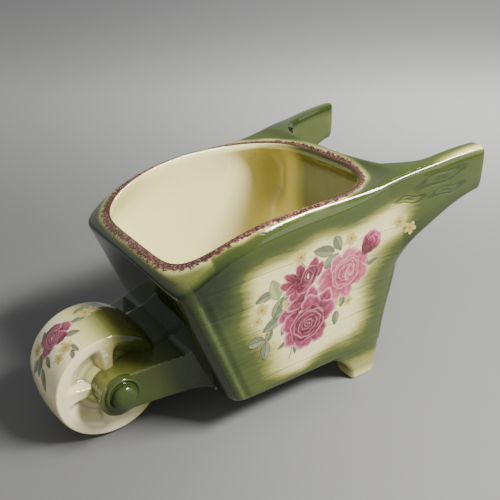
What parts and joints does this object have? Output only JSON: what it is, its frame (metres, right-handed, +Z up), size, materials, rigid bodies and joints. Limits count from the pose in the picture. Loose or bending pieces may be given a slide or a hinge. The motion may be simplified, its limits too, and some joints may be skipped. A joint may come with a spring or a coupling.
{
  "type": "ceramic wheelbarrow planter",
  "caption": "Glazed earthenware planter shaped as a wooden wheelbarrow: open tub with rolled rim, horn-like handles, disc wheel in a fork, block feet and rose transfers.",
  "frame": {"origin": "middle of the overall length and width, on the ground", "axes": "-X towards the wheel, +Z up, +Y to the gardener's right-hand side when pushing"},
  "size_m": [0.2982, 0.1688, 0.1624],
  "materials": {
    "body_glaze": "glossy airbrushed green over ivory glaze",
    "wheel_glaze": "glossy ivory glaze, green towards the fork",
    "fork_glaze": "glossy dark green glaze",
    "foot_glaze": "glossy ivory and green glaze, worn edges",
    "rose_transfer": "printed overglaze transfer, fired on",
    "lip_lustre": "stippled maroon and copper lustre"
  },
  "bodies": {
    "root": {"tub": "body_glaze", "handle_left": "body_glaze", "handle_right": "body_glaze", "wheel": "wheel_glaze", "fork_web": "fork_glaze", "fork_arm_left": "fork_glaze", "fork_arm_right": "fork_glaze", "hub_knob_left": "fork_glaze", "hub_knob_right": "fork_glaze", "foot_left": "foot_glaze", "foot_right": "foot_glaze", "rose_transfer_left": "rose_transfer", "rose_transfer_right": "rose_transfer", "wheel_transfer": "rose_transfer", "lip_band": "lip_lustre"}
  },
  "joints": []
}
